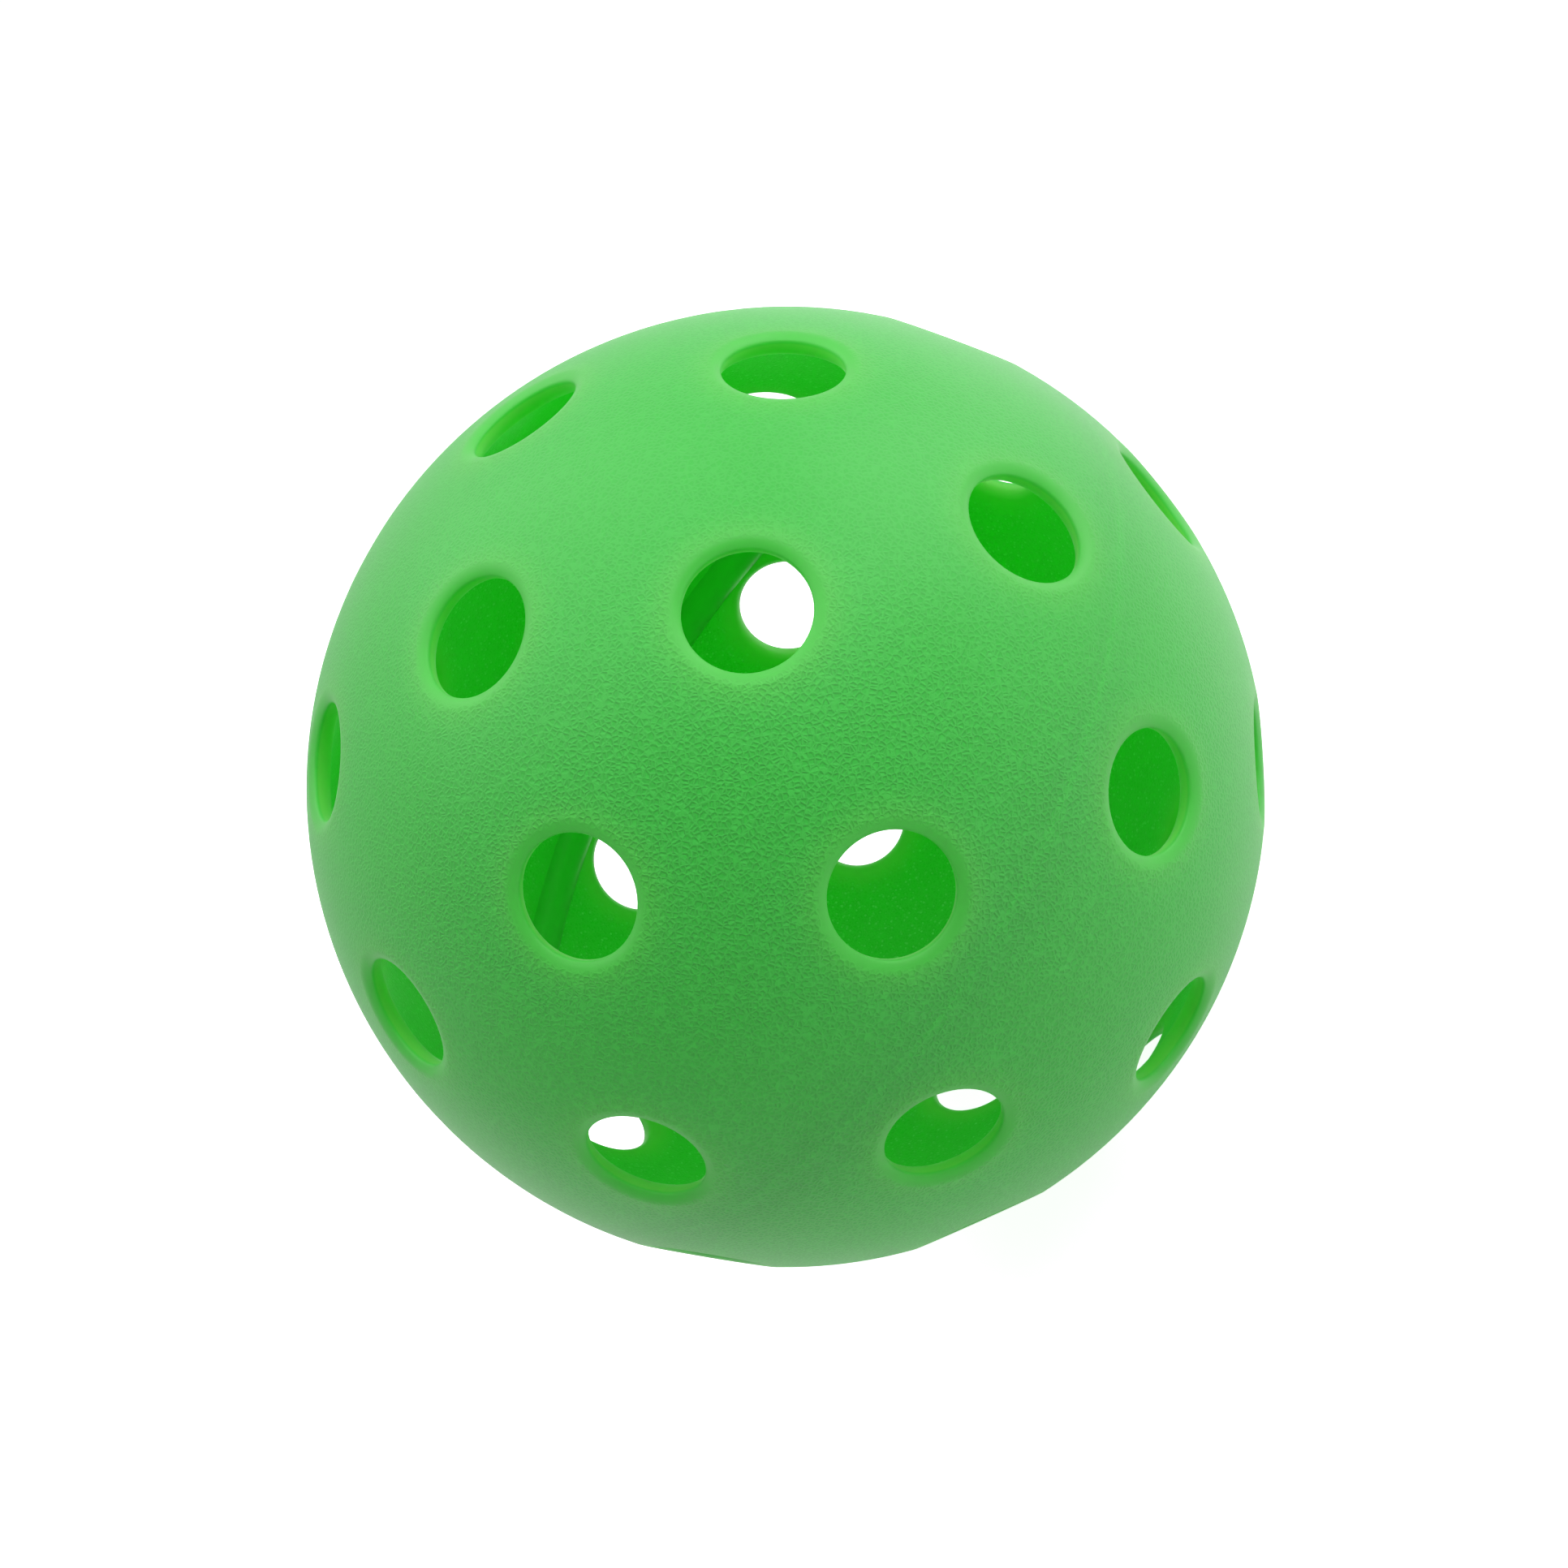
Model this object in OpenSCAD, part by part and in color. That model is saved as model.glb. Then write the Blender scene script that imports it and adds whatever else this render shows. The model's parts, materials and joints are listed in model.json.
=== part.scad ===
// Perforated court ball: two moulded half shells, lapped and welded at the equator.
// The origin is the centre of the ball, and +Z runs through the pole of the upper half.

/* [Ball] */
// Outside diameter of the ball
ball_d = 74; // [70:0.5:78]
// Thickness of the moulded wall
wall = 1.7; // [1.5:0.1:2.4]

/* [Holes] */
// Diameter of the straight land of each air hole
hole_d = 8.7; // [6:0.1:9.6]
// Radius of the rounded lip on the outside of each hole
lip_r = 0.8; // [0.5:0.05:1.1]
// Latitude of the ring of holes round each pole
polar_lat = 66.75; // [64:0.25:68]
// Latitude of the middle ring of holes in each half
middle_lat = 38.25; // [36:0.25:40]
// Latitude of the ring of holes beside the seam
seam_lat = 11.75; // [11.5:0.25:13]
// Number of holes round each pole: the other rings hold twice as many
polar_count = 4; // [3:1:4]
// Angle that the lower half is turned about the axis
lower_turn = 68.8; // [0:0.1:90]

/* [Seam] */
// Clear strip between the end of the spigot and the holes of the other half
spigot_margin = 0.6; // [0.3:0.1:1]
// Reach of the spigot up the wall of its own half
spigot_root = 1; // [0.6:0.1:1.4]
// Height of the spigot's rounded crown above the inside of the wall
spigot_rise = 0.8; // [0.5:0.05:1]
// Gap between the spigot and the wall that it slides into
spigot_gap = 0.06; // [0.03:0.01:0.15]
// Width of the weld ring in the rim
weld_w = 0.7; // [0.5:0.05:0.8]
// Depth of the weld ring's groove
weld_depth = 0.5; // [0.3:0.05:0.8]
// Gap on each side of the weld ring in its groove
weld_gap = 0.03; // [0.02:0.01:0.06]

/* [Hidden] */
shell_green = "limegreen";
weld_green = "green";

ball_r = ball_d / 2;
inner_r = ball_r - wall;
hole_r = hole_d / 2;
ring_count = 2 * polar_count;
ring_step = 360 / ring_count;

// A lip this much proud of a true fillet crosses the outside at a clean shallow angle
lip_proud = 0.02;
// Height, along the hole's axis, of the centre of the lip's round
lip_centre = sqrt(pow(ball_r - lip_r + lip_proud, 2) - pow(hole_r + lip_r, 2));
// Cutters run past the faces that they cut by this much
over = 2;

// Depth below the seam at which the nearest holes break through the inside of the wall
hole_edge = inner_r * sin(seam_lat - asin(hole_r / inner_r));
spigot_reach = hole_edge - spigot_margin;
spigot_width = spigot_reach + spigot_root;
spigot_round = (pow(spigot_width / 2, 2) + pow(spigot_rise, 2)) / (2 * spigot_rise);
spigot_mid = (spigot_root - spigot_reach) / 2;
// The spigot's root is sunk this far into its own wall
root_sink = wall / 4;

weld_mid = (ball_r + inner_r) / 2;
smooth = 180;

$fn = smooth;

// Outline of one hole's cutter, from its axis outwards, with the ball's centre at the origin
module hole_outline() {
    translate([0, inner_r - over])
        square([hole_r, wall + 2 * over]);
    difference() {
        translate([0, lip_centre])
            square([hole_r + lip_r, ball_r + over - lip_centre]);
        translate([hole_r + lip_r, lip_centre])
            circle(lip_r);
    }
}

module hole_cutter(lat, lon) {
    rotate([0, 90 - lat, lon])
        rotate_extrude()
            hole_outline();
}

// Cutters for all the holes of the upper half: the middle ring is half a step out of line with the others
module half_holes() {
    for (i = [0 : polar_count - 1])
        hole_cutter(polar_lat, 2 * i * ring_step);
    for (i = [0 : ring_count - 1]) {
        hole_cutter(middle_lat, (i + 0.5) * ring_step);
        hole_cutter(seam_lat, i * ring_step);
    }
}

// Half of a ring between two radii in the section plane, from z = low to z = high
module zone(outer, inner, low, high) {
    intersection() {
        difference() {
            circle(outer);
            circle(inner);
        }
        translate([0, low])
            square([ball_r + over, high - low]);
    }
}

module wall_section() {
    zone(ball_r, inner_r, 0, ball_r + over);
}

// Rounded band inside the seam: its root is in the upper half, and the rest slides into the lower one
module spigot_section() {
    crown_centre = inner_r - spigot_rise + spigot_round;
    intersection() {
        translate([crown_centre, spigot_mid])
            circle(spigot_round);
        union() {
            zone(inner_r - spigot_gap, inner_r / 2, -spigot_reach, 0);
            zone(inner_r + root_sink, inner_r / 2, 0, spigot_root);
        }
    }
}

module rim_groove() {
    groove_w = weld_w + 2 * weld_gap;
    translate([weld_mid - groove_w / 2, -over])
        square([groove_w, weld_depth + over]);
}

// The lower half is the upper half's moulding turned over, then turned about the axis
module turned_over() {
    rotate([0, 0, lower_turn])
        rotate([180, 0, 0])
            children();
}

module upper_half_shell() {
    color(shell_green)
        difference() {
            rotate_extrude() {
                wall_section();
                spigot_section();
            }
            half_holes();
        }
}

module lower_half_shell() {
    color(shell_green)
        turned_over()
            difference() {
                rotate_extrude()
                    difference() {
                        wall_section();
                        rim_groove();
                    }
                half_holes();
            }
}

module weld_ring() {
    color(weld_green)
        rotate_extrude()
            translate([weld_mid - weld_w / 2, -weld_depth])
                square([weld_w, weld_depth]);
}

upper_half_shell();
lower_half_shell();
weld_ring();
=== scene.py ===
import json
import math

import bmesh
import bpy
import numpy as np
from mathutils import Matrix, Vector
from mathutils.geometry import delaunay_2d_cdt


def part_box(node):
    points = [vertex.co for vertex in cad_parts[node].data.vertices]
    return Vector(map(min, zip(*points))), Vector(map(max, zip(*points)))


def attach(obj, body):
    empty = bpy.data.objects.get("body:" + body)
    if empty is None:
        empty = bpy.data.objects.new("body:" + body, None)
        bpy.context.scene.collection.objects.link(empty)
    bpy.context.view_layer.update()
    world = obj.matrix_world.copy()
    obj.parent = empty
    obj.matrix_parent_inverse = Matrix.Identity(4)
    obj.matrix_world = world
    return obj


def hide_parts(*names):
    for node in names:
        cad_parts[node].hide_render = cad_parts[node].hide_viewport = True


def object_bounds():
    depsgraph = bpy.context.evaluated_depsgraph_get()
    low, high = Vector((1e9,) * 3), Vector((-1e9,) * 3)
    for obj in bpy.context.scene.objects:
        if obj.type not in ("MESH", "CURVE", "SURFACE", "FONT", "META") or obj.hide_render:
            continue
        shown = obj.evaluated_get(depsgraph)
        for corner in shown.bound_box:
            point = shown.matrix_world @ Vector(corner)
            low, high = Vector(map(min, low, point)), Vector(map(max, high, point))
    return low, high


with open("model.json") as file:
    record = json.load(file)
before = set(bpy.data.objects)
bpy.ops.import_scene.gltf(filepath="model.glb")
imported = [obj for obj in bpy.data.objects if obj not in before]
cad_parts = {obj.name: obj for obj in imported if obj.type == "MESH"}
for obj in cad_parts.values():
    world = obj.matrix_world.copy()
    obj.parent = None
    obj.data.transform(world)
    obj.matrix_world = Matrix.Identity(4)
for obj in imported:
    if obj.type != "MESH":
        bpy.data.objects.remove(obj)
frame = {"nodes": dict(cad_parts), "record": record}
cad_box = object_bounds()

# Sizes of the ball, in metres
MM = 0.001
BALL_R = cad_box[1].z
WALL = 1.7 * MM
INNER_R = BALL_R - WALL

# Holes: the land's radius is the tether hole's. The lip is a dish of this reach and depth, with a small round
# where it meets the land, and the inner edge has a larger round
mounts = {mount["name"]: mount for mount in frame["record"]["mounts"]}
HOLE_R = mounts["tether_hole"]["dims"]["r_mm"] * MM
LIP_REACH = 1.1 * MM
LIP_DEPTH = 0.45 * MM
LIP_EDGE = 0.12 * MM
EDGE_R = 1.1 * MM
POLAR_LAT, MIDDLE_LAT, SEAM_LAT = 66.75, 38.25, 11.75
POLAR_COUNT = 4
LOWER_TURN = 68.8

# Seam: the upper half's rounded spigot slides into the lower half, whose rim holds the weld ring
SPIGOT_REACH = -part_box("upper_half_shell")[0].z
SPIGOT_ROOT = 1 * MM
SPIGOT_RISE = 0.8 * MM
SPIGOT_GAP = 0.06 * MM
weld_low, weld_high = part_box("weld_ring")
WELD_GAP = 0.03 * MM
GROOVE_DEPTH = weld_high.z - weld_low.z
GROOVE_OUT = weld_high.x + WELD_GAP
GROOVE_IN = 2 * (INNER_R + WALL / 2) - GROOVE_OUT

# Mesh steps: the distance between points on the open skin, how far these stay from its edges, and the steps
# round a hole, round the seam and along each profile. Points of the flattened skin that are closer than
# MERGE_DISTANCE count as one, and edges sharper than SHARP_DEGREES aren't smoothed
SKIN_STEP = 1.1 * MM
SKIN_CLEAR = 0.6 * SKIN_STEP
HOLE_STEPS = 60
RIM_STEPS = 240
LIP_EDGE_STEPS = 3
LIP_STEPS = 9
EDGE_STEPS = 6
FACE_STEPS = 3
BEAD_STEPS = 16
MERGE_DISTANCE = 1e-9
SHARP_DEGREES = 40

# Grain: the width of a pebble, how far its outline wanders, the share of the ridge round it and the ridge's
# height. It is as deep as that on one side of the ball, low in the photograph, and shallower elsewhere
PEBBLE = 0.38 * MM
WANDER = 0.1 * MM
RIDGE_SHARE = 0.3
RIDGE_HEIGHT = 0.11 * MM
SHALLOW = 0.4
DEEP_SIDE = (0.915, -0.36, 0.152)
DEEP_FROM = 0.45 * BALL_R
# Inside the ball, a pebble's top carries a painted glint, full to TOP_CORE from its middle and gone at
# TOP_END, in pebbles
TOP_CORE, TOP_END = 0.15, 0.4

# Colours of the plastic: where there are two, slow clouds run from one to the other
CLOUD = 14 * MM
OUTER_GREENS = (0.035, 0.61, 0.055, 1), (0.055, 0.67, 0.075, 1)
# Outside and inside are one plastic: the inside's purer green is painted, for light bounced round in the ball
INNER_BOUNCE_GREENS = (0.003, 0.62, 0.006, 1), (0.006, 0.7, 0.01, 1)
# A painted glow at the holes' edges, for light let through the thin plastic there and a highlight on the lips
EDGE_GLOW_GREEN = (0.35, 0.8, 0.15, 1)
# A painted highlight on the ridges of the grain
RIDGE_HIGHLIGHT_GREEN = (0.3, 0.85, 0.32, 1)
# Painted glints on the tops of the pebbles inside the ball
TOP_GLINT_GREEN = (0.28, 1, 0.3, 1)
# How much of the last three shows, and how far a hole's painted glow fades into the skin
OUTER_EDGE_GLOW, INNER_EDGE_GLOW = 0.16, 0.6
RIDGE_HIGHLIGHT_TINT = 0.1
TOP_GLINT_TINT = 0.9
GLOW_REACH = 2.6 * MM
# Light let through the wall, at a pebble and at a ridge, and its share of the whole. The extra at the ridges
# is a painted highlight on the grain, strongest on the deep-grain side
THROUGH_GREENS = (0.034, 0.7, 0.0145, 1), (0.045, 0.8, 0.022, 1)
THROUGH_SHARE = 0.5

# Plastic fused in the seam: the size and height of its flow marks, its colours and the light let through it
FLOW = 2 * MM
FLOW_HEIGHT = 0.02 * MM
FUSED_GREENS = (0.03, 0.42, 0.05, 1), (0.05, 0.55, 0.07, 1)
FUSED_THROUGH = (0.9, 1, 0.9, 1)
FUSED_THROUGH_SHARE = 0.95

# Stage: the floor's half width, its paper and the glow that lifts it to white, the world's light, and how far
# the lamps stand from the ball's middle
FLOOR_HALF = 60 * BALL_R
PAPER_WHITES = (0.8, 0.8, 0.8, 1), (0.82, 0.82, 0.82, 1)
FIBRES_PER_METRE = 60
FLOOR_LIFT = 0.9
WHITE = (1, 1, 1, 1)
SOFT_LIGHT = 0.13
LAMP_DISTANCE = 0.6

# Camera: the photograph's frame, its lens in pixels, where the lens's axis meets the picture, and where the
# camera stands and looks. The ball is a little off the lens's axis, as it is in the photograph
FRAME_PX = 1932
FOCAL_PX = 3150.2
AXIS_AT = (870.57, 1170.13)
CAMERA_DISTANCE = 5.4364 * BALL_R
CAMERA_AZIMUTH, CAMERA_ELEVATION = 3.836, 26.886
LENS_AZIMUTH, LENS_ELEVATION, LENS_ROLL = 8.228, 27.034, 62.772
SENSOR = 36

Z_AXIS = np.array([0.0, 0.0, 1.0])


def direction(latitude, longitude):
    """The unit vector at this latitude and longitude, in degrees."""
    lat, lon = math.radians(latitude), math.radians(longitude)
    return np.array([math.cos(lat) * math.cos(lon), math.cos(lat) * math.sin(lon), math.sin(lat)])


def camera_axes():
    """Right, up and back of the camera, rolled so that the ball's pole leans left in the picture."""
    back = Vector(direction(LENS_ELEVATION, LENS_AZIMUTH))
    right = Vector(Z_AXIS).cross(back).normalized()
    up = back.cross(right)
    roll = Matrix.Rotation(math.radians(-LENS_ROLL), 3, back)
    return roll @ right, roll @ up, back


VIEW_RIGHT, VIEW_UP, VIEW_BACK = camera_axes()


def towards(right, up, back):
    """A unit vector given by its shares along the camera's axes."""
    return (right * VIEW_RIGHT + up * VIEW_UP + back * VIEW_BACK).normalized()


def make_camera():
    data = bpy.data.cameras.new("camera")
    data.sensor_width = SENSOR
    data.lens = SENSOR * FOCAL_PX / FRAME_PX
    data.shift_x = 0.5 - AXIS_AT[0] / FRAME_PX
    data.shift_y = AXIS_AT[1] / FRAME_PX - 0.5
    data.clip_start = BALL_R / 10
    camera = bpy.data.objects.new("camera", data)
    bpy.context.scene.collection.objects.link(camera)
    stand = Vector(direction(CAMERA_ELEVATION, CAMERA_AZIMUTH)) * CAMERA_DISTANCE
    turn = Matrix((VIEW_RIGHT, VIEW_UP, VIEW_BACK)).transposed().to_4x4()
    camera.matrix_world = Matrix.Translation(stand) @ turn
    bpy.context.scene.camera = camera


# Material helpers
def new_material(name):
    material = bpy.data.materials.new(name)
    material.use_nodes = True
    material.node_tree.nodes.clear()
    return material, material.node_tree


def node(tree, kind, inputs=None, **settings):
    """Adds a node, sets its properties, and sets or links its inputs."""
    made = tree.nodes.new(kind)
    for key, value in settings.items():
        setattr(made, key, value)
    for key, value in (inputs or {}).items():
        if isinstance(value, bpy.types.NodeSocket):
            tree.links.new(value, made.inputs[key])
        else:
            made.inputs[key].default_value = value
    return made


def times(tree, *factors):
    """The product of several values."""
    product = factors[0]
    for factor in factors[1:]:
        product = node(tree, "ShaderNodeMath", {0: product, 1: factor}, operation="MULTIPLY").outputs[0]
    return product


def ramp(tree, value, start, end, low, high):
    """low where value is at start, high where it is at end, eased between them."""
    inputs = {"Value": value, "From Min": start, "From Max": end, "To Min": low, "To Max": high}
    return node(tree, "ShaderNodeMapRange", inputs, interpolation_type="SMOOTHSTEP").outputs[0]


def mix_colours(tree, share, first, second):
    mixed = node(tree, "ShaderNodeMix", {0: share, 6: first, 7: second}, data_type="RGBA")
    return mixed.outputs[2]


def attribute(tree, name):
    """A value that the mesh carries at each of its points."""
    return node(tree, "ShaderNodeAttribute", attribute_name=name).outputs["Fac"]


def finish_material(tree, shader):
    node(tree, "ShaderNodeOutputMaterial", {"Surface": shader})


def shell_material():
    """Pebbled green plastic that lets light through, with more at the ridges as a painted highlight.

    The edges of the holes carry a painted glow, the ridges a paler painted highlight, the inside a purer
    green painted for bounced light, and inside the ball the tops of the pebbles carry painted glints."""
    material, tree = new_material("moulded_green")
    place = node(tree, "ShaderNodeTexCoord").outputs["Object"]
    grain, inside, edge = (attribute(tree, name) for name in ("grain", "inside", "edge"))

    drift = node(tree, "ShaderNodeTexNoise", {"Vector": place, "Scale": 1 / PEBBLE, "Detail": 1})
    shift = {0: drift.outputs["Color"], 1: (WANDER,) * 3, 2: place}
    wandering = node(tree, "ShaderNodeVectorMath", shift, operation="MULTIPLY_ADD").outputs[0]
    cells = {"Vector": wandering, "Scale": 1 / PEBBLE}
    pebbles = node(tree, "ShaderNodeTexVoronoi", cells, feature="DISTANCE_TO_EDGE")
    ridge = ramp(tree, pebbles.outputs["Distance"], 0, RIDGE_SHARE, 1, 0)
    relief = times(tree, ridge, grain)
    along = node(tree, "ShaderNodeVectorMath", {0: place, 1: DEEP_SIDE}, operation="DOT_PRODUCT")
    depth = times(tree, relief, ramp(tree, along.outputs["Value"], DEEP_FROM, BALL_R, SHALLOW, 1))
    bump = node(tree, "ShaderNodeBump", {"Strength": 1, "Distance": RIDGE_HEIGHT, "Height": depth})

    # Painted glints on the tops of the pebbles, inside the ball only
    tops = node(tree, "ShaderNodeTexVoronoi", cells).outputs
    glint_spot = ramp(tree, tops["Distance"], TOP_CORE, TOP_END, 1, 0)
    top = times(tree, glint_spot, tops["Color"], grain, inside)

    clouds = node(tree, "ShaderNodeTexNoise", {"Vector": place, "Scale": 1 / CLOUD, "Detail": 3}).outputs[0]
    outer = mix_colours(tree, clouds, *OUTER_GREENS)
    # Inside the ball the green is painted purer, for light bounced round in the ball
    inner = mix_colours(tree, clouds, *INNER_BOUNCE_GREENS)
    plain = mix_colours(tree, inside, outer, inner)
    # Painted glow at the holes' edges, for light let through the thin lips and a highlight on them, stronger
    # inside
    edge_glow = times(tree, edge, ramp(tree, inside, 0, 1, OUTER_EDGE_GLOW, INNER_EDGE_GLOW))
    glow_edged = mix_colours(tree, edge_glow, plain, EDGE_GLOW_GREEN)
    # Painted highlight on the ridges of the grain
    ridge_highlighted = mix_colours(tree, times(tree, relief, RIDGE_HIGHLIGHT_TINT), glow_edged, RIDGE_HIGHLIGHT_GREEN)
    skin = mix_colours(tree, times(tree, top, TOP_GLINT_TINT), ridge_highlighted, TOP_GLINT_GREEN)

    plastic = node(
        tree,
        "ShaderNodeBsdfPrincipled",
        {
            "Base Color": skin,
            "Roughness": ramp(tree, clouds, 0.3, 0.7, 0.4, 0.5),
            "Specular IOR Level": 0.1,
            "IOR": 1.5,
            "Coat Weight": 0.85,
            "Coat Roughness": 0.4,
            "Sheen Weight": 0.28,
            "Sheen Roughness": 0.75,
            "Normal": bump.outputs[0],
        },
    )
    # More light let through at the ridges: a painted highlight on the grain, strongest on the deep-grain side
    ridge_highlight_through = times(tree, depth, ridge)
    glow = node(tree, "ShaderNodeBsdfTranslucent", {"Color": mix_colours(tree, ridge_highlight_through, *THROUGH_GREENS)})
    mixed = node(tree, "ShaderNodeMixShader", {0: THROUGH_SHARE, 1: plastic.outputs[0], 2: glow.outputs[0]})
    finish_material(tree, mixed.outputs[0])
    return material


def fused_material():
    """Plastic fused in the seam, where light passes from one half into the other: slow flow marks."""
    material, tree = new_material("fused_green")
    place = node(tree, "ShaderNodeTexCoord").outputs["Object"]
    flow = node(tree, "ShaderNodeTexNoise", {"Vector": place, "Scale": 1 / FLOW, "Detail": 4}).outputs[0]
    bump = node(tree, "ShaderNodeBump", {"Distance": FLOW_HEIGHT, "Height": flow})
    plastic = node(
        tree,
        "ShaderNodeBsdfPrincipled",
        {
            "Base Color": mix_colours(tree, flow, *FUSED_GREENS),
            "Roughness": ramp(tree, flow, 0.3, 0.7, 0.3, 0.45),
            "Normal": bump.outputs[0],
        },
    )
    glow = node(tree, "ShaderNodeBsdfTranslucent", {"Color": FUSED_THROUGH})
    shaders = {0: FUSED_THROUGH_SHARE, 1: plastic.outputs[0], 2: glow.outputs[0]}
    finish_material(tree, node(tree, "ShaderNodeMixShader", shaders).outputs[0])
    return material


# Meshes of the two halves
class Skin:
    """The points and faces of one half, made ring by ring and patch by patch.

    Each point carries grain, inside and edge, the share of the painted glow at the holes, for the material,
    and fused is 1 on faces in the joint."""

    def __init__(self):
        self.points = []
        self.grain = []
        self.inside = []
        self.edge = []
        self.faces = []
        self.fused = []

    def add(self, points, grain, inside, edge=0):
        """Adds points and returns their numbers. edge is one value, or one for each point."""
        first = len(self.points)
        self.points.extend(points)
        self.grain.extend([grain] * len(points))
        self.inside.extend([inside] * len(points))
        self.edge.extend(np.broadcast_to(edge, len(points)))
        return list(range(first, len(self.points)))

    def face(self, corners, fused=0):
        self.faces.append([int(corner) for corner in corners])
        self.fused.append(fused)

    def sweep(self, rings, fused=0):
        """Joins each ring to the next with quads."""
        for ring, following in zip(rings, rings[1:]):
            for i in range(len(ring)):
                j = (i + 1) % len(ring)
                self.face((ring[i], ring[j], following[j], following[i]), fused)


def circle_round(axis, radius, height, steps):
    """Points on a circle round an axis through the ball's middle."""
    helper = Z_AXIS if abs(axis[2]) < 0.9 else np.array([1.0, 0.0, 0.0])
    side = np.cross(helper, axis)
    side /= np.linalg.norm(side)
    other = np.cross(axis, side)
    turn = np.arange(steps)[:, None] * 2 * math.pi / steps
    return height * axis + radius * (np.cos(turn) * side + np.sin(turn) * other)


def hole_axes():
    """The axes of the upper half's holes. The middle ring is half a step out of line with the others."""
    count = 2 * POLAR_COUNT
    step = 360 / count
    axes = [direction(POLAR_LAT, 2 * i * step) for i in range(POLAR_COUNT)]
    axes += [direction(MIDDLE_LAT, (i + 0.5) * step) for i in range(count)]
    axes += [direction(SEAM_LAT, i * step) for i in range(count)]
    return axes


def bezier(corners, steps):
    """Points along a Bezier curve with these control points, both ends included."""
    order = len(corners) - 1
    t = np.linspace(0, 1, steps + 1)[:, None]
    return sum(
        math.comb(order, i) * t**i * (1 - t) ** (order - i) * np.array(corner)
        for i, corner in enumerate(corners)
    )


def edge_profile():
    """The round from the inside of the wall to the land, as distances from the hole's axis and along it."""
    centre_out = HOLE_R + EDGE_R
    centre_up = math.sqrt((INNER_R + EDGE_R) ** 2 - centre_out**2)
    start = math.atan2(-centre_up, -centre_out)
    turns = np.linspace(start, -math.pi, EDGE_STEPS + 1)
    return np.stack([centre_out + EDGE_R * np.cos(turns), centre_up + EDGE_R * np.sin(turns)], axis=1)


def lip_profile():
    """The rolled lip: a small round at the top of the land, then a dish that runs out into the outside."""
    out = HOLE_R + LIP_REACH
    end = np.array([out, math.sqrt(BALL_R**2 - out**2)])
    corner = np.array([HOLE_R, end[1] + LIP_REACH * end[0] / end[1]])
    middle = (corner + end) / 2
    low = corner - [0, LIP_DEPTH]
    start = low + LIP_EDGE * (middle - low) / np.linalg.norm(middle - low)
    small_round = bezier([low - [0, LIP_EDGE], low, start], LIP_EDGE_STEPS)
    return np.vstack([small_round[:-1], bezier([start, middle, end], LIP_STEPS)])


def roll_hole(skin, axis):
    """Makes one hole's edge, land and lip, and returns its rings on the inside and the outside.

    The grain fades in over the outer half of the lip."""

    def ring(point, grain, inside):
        # The hole's rings carry the full painted glow
        return skin.add(circle_round(axis, *point, HOLE_STEPS), grain, inside, edge=1)

    rings = [ring(point, grain=0, inside=1) for point in edge_profile()]
    for point in lip_profile():
        fade = np.clip(2 * (point[0] - HOLE_R) / LIP_REACH - 1, 0, 1)
        rings.append(ring(point, grain=fade, inside=0))
    skin.sweep(rings)
    return rings[0], rings[-1]


def even_points(radius):
    """Points spread evenly over a whole sphere, on a golden spiral."""
    count = int(4 * math.pi * (radius / SKIN_STEP) ** 2)
    place = np.arange(count) + 0.5
    z = 1 - 2 * place / count
    turn = place * math.pi * (3 - math.sqrt(5))
    across = np.sqrt(1 - z * z)
    return radius * np.stack([across * np.cos(turn), across * np.sin(turn), z], axis=1)


def fill_patch(skin, radius, axes, hole_rings, rim, inside, fused_below=0):
    """Fills the sphere between the rim and the holes with even triangles."""
    points = even_points(radius)
    keep = points[:, 2] > skin.points[rim[0]][2] + SKIN_CLEAR
    # The share of the painted glow: 1 at a hole's edge, and 0 at GLOW_REACH from it
    near = np.zeros(len(points))
    for axis, ring in zip(axes, hole_rings):
        hole_angle = math.acos(skin.points[ring[0]] @ axis / radius)
        away = radius * (np.arccos(np.clip(points @ axis / radius, -1, 1)) - hole_angle)
        keep &= away > SKIN_CLEAR
        near = np.maximum(near, np.clip(1 - away / GLOW_REACH, 0, 1) ** 2)
    loops = [rim] + hole_rings
    members = [i for loop in loops for i in loop]
    owner = [loop for loop, ring in enumerate(loops) for _ in ring]
    edges = []
    for loop in range(len(loops)):
        first, count = owner.index(loop), len(loops[loop])
        edges += [(first + i, first + (i + 1) % count) for i in range(count)]
    members += skin.add(points[keep], grain=1, inside=inside, edge=near[keep])
    flat = [Vector(skin.points[i][:2]) / (radius + skin.points[i][2]) for i in members]
    _, _, triangles, sources, _, _ = delaunay_2d_cdt(flat, edges, [], 1, MERGE_DISTANCE)
    for triangle in triangles:
        corners = [sources[i][0] for i in triangle]
        # A triangle with all its corners on one hole's ring would close that hole
        owners = {owner[i] if i < len(owner) else None for i in corners}
        if len(owners) > 1 or owners <= {0, None}:
            top = max(skin.points[members[i]][2] for i in corners)
            skin.face([members[i] for i in corners], int(top < fused_below))


def circles_meet(radius, centre, centre_radius):
    """The lower and upper points, in section, where a circle round the ball's middle meets another."""
    away = math.hypot(*centre)
    along = (radius**2 - centre_radius**2 + away**2) / (2 * away)
    aside = math.sqrt(radius**2 - along**2)
    unit = np.array(centre) / away
    square = np.array([-unit[1], unit[0]])
    return along * unit - aside * square, along * unit + aside * square


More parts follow.
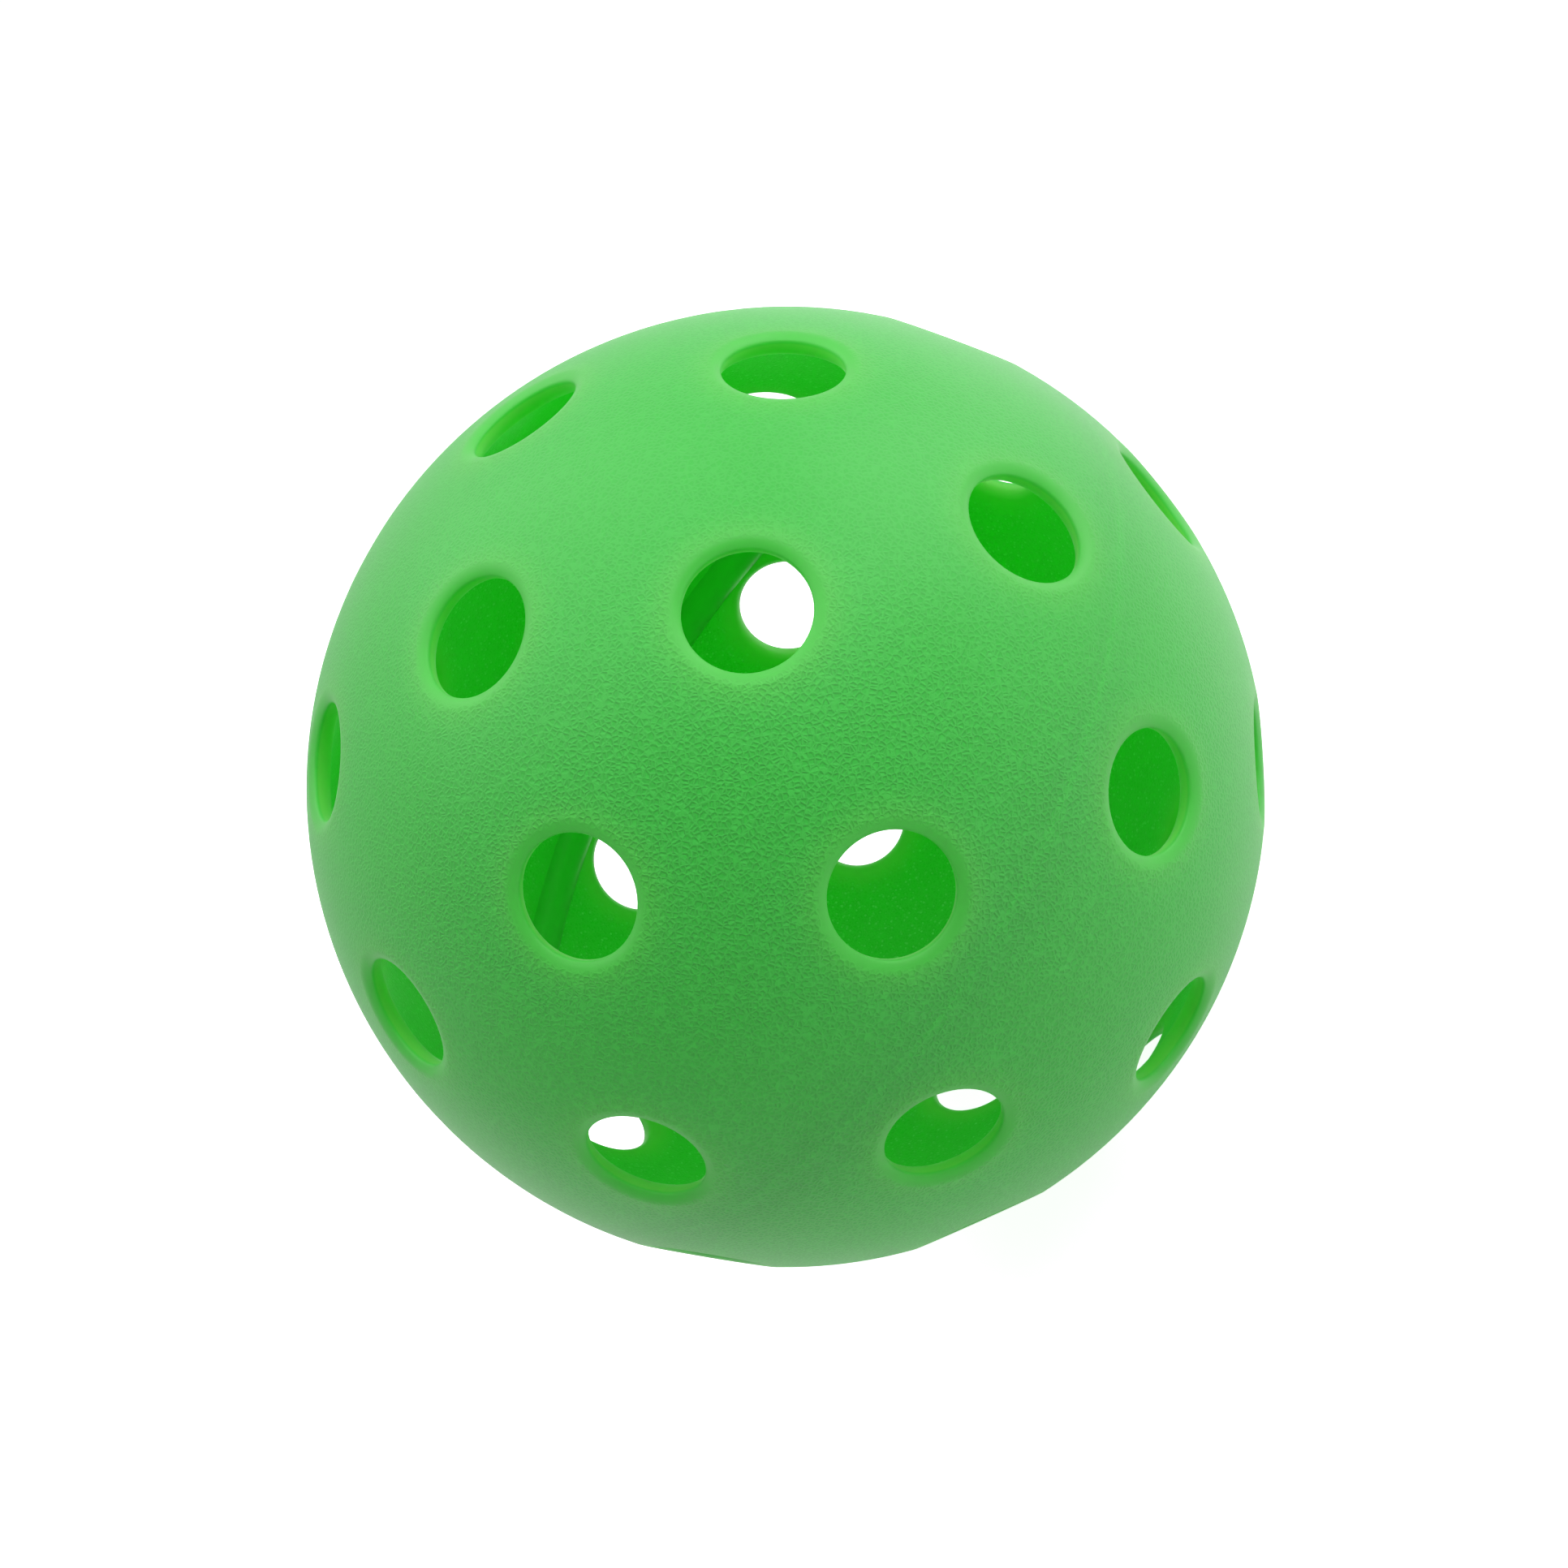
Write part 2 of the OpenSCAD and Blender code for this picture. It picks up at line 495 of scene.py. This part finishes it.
def spigot_profile():
    """The upper half's seam from the outside to the inside, as distances from the ball's axis and heights.

    The first part is fused to the other half, and the second is the open crown of the spigot."""
    width = SPIGOT_REACH + SPIGOT_ROOT
    crown_r = ((width / 2) ** 2 + SPIGOT_RISE**2) / (2 * SPIGOT_RISE)
    centre = np.array([INNER_R - SPIGOT_RISE + crown_r, (SPIGOT_ROOT - SPIGOT_REACH) / 2])
    face_r = INNER_R - SPIGOT_GAP
    tip = circles_meet(face_r, centre, crown_r)[0]
    root = circles_meet(INNER_R, centre, crown_r)[1]
    heights = np.linspace(0, tip[1], FACE_STEPS + 1)
    face = np.stack([np.sqrt(face_r**2 - heights**2), heights], axis=1)
    turns = [math.atan2(*(point - centre)[::-1]) % (2 * math.pi) for point in (tip, root)]
    bead = np.linspace(turns[0], turns[1], BEAD_STEPS + 1)[1:]
    crown = centre + crown_r * np.stack([np.cos(bead), np.sin(bead)], axis=1)
    return np.vstack([[BALL_R, 0], face]), np.vstack([face[-1:], crown])


def groove_profile():
    """The lower half's rim from the outside to the inside, with the weld ring's groove in it."""
    rim = [
        [BALL_R, 0],
        [GROOVE_OUT, 0],
        [GROOVE_OUT, GROOVE_DEPTH],
        [GROOVE_IN, GROOVE_DEPTH],
        [GROOVE_IN, 0],
        [INNER_R, 0],
    ]
    return np.array(rim), np.array(rim[-1:])


def half_shell(name, seam_profile, covered, turn, materials):
    """One moulded half: its holes, its seam and the skins between them.

    covered is the height inside that the other half's spigot hides."""
    skin = Skin()
    axes = hole_axes()
    holes = [roll_hole(skin, axis) for axis in axes]
    closed, crown = seam_profile

    def ring(point, grain, inside):
        return skin.add(circle_round(Z_AXIS, *point, RIM_STEPS), grain, inside)

    joint = [ring(closed[0], grain=1, inside=0)]
    joint += [ring(point, grain=0, inside=1) for point in closed[1:]]
    skin.sweep(joint, fused=1)
    bead = joint[-1:] + [ring(point, grain=0, inside=1) for point in crown[1:]]
    skin.sweep(bead)
    fill_patch(skin, BALL_R, axes, [outer for _, outer in holes], joint[0], inside=0)
    fill_patch(skin, INNER_R, axes, [inner for inner, _ in holes], bead[-1], inside=1, fused_below=covered)
    return make_piece(name, skin, turn, materials)


def make_piece(name, skin, turn, materials):
    """Turns a skin into a smooth closed mesh object."""
    points = np.array(skin.points) @ np.array(turn).T
    mesh = bpy.data.meshes.new(name)
    mesh.from_pydata(points.tolist(), [], skin.faces)
    for key in ("grain", "inside", "edge"):
        values = mesh.attributes.new(key, "FLOAT", "POINT")
        values.data.foreach_set("value", getattr(skin, key))
    for material in materials:
        mesh.materials.append(material)
    mesh.polygons.foreach_set("material_index", skin.fused)
    tidy = bmesh.new()
    tidy.from_mesh(mesh)
    bmesh.ops.recalc_face_normals(tidy, faces=tidy.faces)
    tidy.to_mesh(mesh)
    tidy.free()
    mesh.shade_smooth()
    mesh.set_sharp_from_angle(angle=math.radians(SHARP_DEGREES))
    piece = bpy.data.objects.new(name, mesh)
    bpy.context.scene.collection.objects.link(piece)
    return piece


def make_shells(fused):
    materials = [shell_material(), fused]
    turned_over = Matrix.Rotation(math.radians(LOWER_TURN), 3, "Z") @ Matrix.Rotation(math.pi, 3, "X")
    halves = {
        "upper_half_shell": (spigot_profile(), 0, Matrix.Identity(3)),
        "lower_half_shell": (groove_profile(), SPIGOT_REACH, turned_over),
    }
    for cad_node, (seam_profile, covered, turn) in halves.items():
        name = cad_node.replace("half_shell", "moulded_half")
        piece = half_shell(name, seam_profile, covered, turn, materials)
        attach(piece, "root")
        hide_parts(cad_node)


def dress_weld_ring(fused):
    ring = frame["nodes"]["weld_ring"]
    ring.data.materials.clear()
    ring.data.materials.append(fused)


# Stage
def larger(tree, first, second):
    return node(tree, "ShaderNodeMath", {0: first, 1: second}, operation="MAXIMUM").outputs[0]


def shows_background(tree):
    """1 for rays that show the background: from the camera, from a shiny surface or through a clear one."""
    path = node(tree, "ShaderNodeLightPath").outputs
    shiny = larger(tree, path["Is Camera Ray"], path["Is Glossy Ray"])
    return larger(tree, shiny, path["Is Transmission Ray"])


def floor_material():
    """White paper: its own shade carries the shadow, and a white glow lifts it to the background's white."""
    material, tree = new_material("white_floor")
    place = node(tree, "ShaderNodeTexCoord").outputs["Object"]
    fibre = node(tree, "ShaderNodeTexNoise", {"Vector": place, "Scale": FIBRES_PER_METRE, "Detail": 3})
    colour = mix_colours(tree, fibre.outputs[0], *PAPER_WHITES)
    paper = node(tree, "ShaderNodeBsdfDiffuse", {"Color": colour})
    lift = times(tree, shows_background(tree), FLOOR_LIFT)
    white = node(tree, "ShaderNodeEmission", {"Color": WHITE, "Strength": lift})
    both = node(tree, "ShaderNodeAddShader", {0: paper.outputs[0], 1: white.outputs[0]})
    finish_material(tree, both.outputs[0])
    return material


def make_floor():
    half = FLOOR_HALF
    corners = [(-half, -half), (half, -half), (half, half), (-half, half)]
    mesh = bpy.data.meshes.new("floor")
    mesh.from_pydata([(x, y, cad_box[0].z) for x, y in corners], [], [(0, 1, 2, 3)])
    mesh.materials.append(floor_material())
    floor = bpy.data.objects.new("floor", mesh)
    bpy.context.scene.collection.objects.link(floor)


def make_world():
    world = bpy.data.worlds.new("studio")
    world.use_nodes = True
    tree = world.node_tree
    tree.nodes.clear()
    soft = node(tree, "ShaderNodeBackground", {"Color": WHITE, "Strength": SOFT_LIGHT})
    white = node(tree, "ShaderNodeBackground", {"Color": WHITE, "Strength": 1})
    shaders = {0: shows_background(tree), 1: soft.outputs[0], 2: white.outputs[0]}
    seen = node(tree, "ShaderNodeMixShader", shaders)
    node(tree, "ShaderNodeOutputWorld", {"Surface": seen.outputs[0]})
    bpy.context.scene.world = world


def softbox(name, away, size, power):
    """A square lamp that faces the middle of the ball from the direction away."""
    lamp = bpy.data.lights.new(name, "AREA")
    lamp.size = size
    lamp.energy = power
    box = bpy.data.objects.new(name, lamp)
    box.location = away * LAMP_DISTANCE
    box.rotation_mode = "QUATERNION"
    box.rotation_quaternion = away.to_track_quat("Z", "Y")
    bpy.context.scene.collection.objects.link(box)


def make_lights():
    softbox("left", towards(-0.75, 0.6, 0.3), size=0.8, power=3.7)
    softbox("right", towards(0.45, 0.85, 0.3), size=0.5, power=2.4)
    softbox("front", towards(0, 0.6, 0.8), size=0.35, power=1.2)


make_camera()
fused_plastic = fused_material()
make_shells(fused_plastic)
dress_weld_ring(fused_plastic)
make_floor()
make_world()
make_lights()
bpy.context.scene.view_settings.view_transform = "Standard"
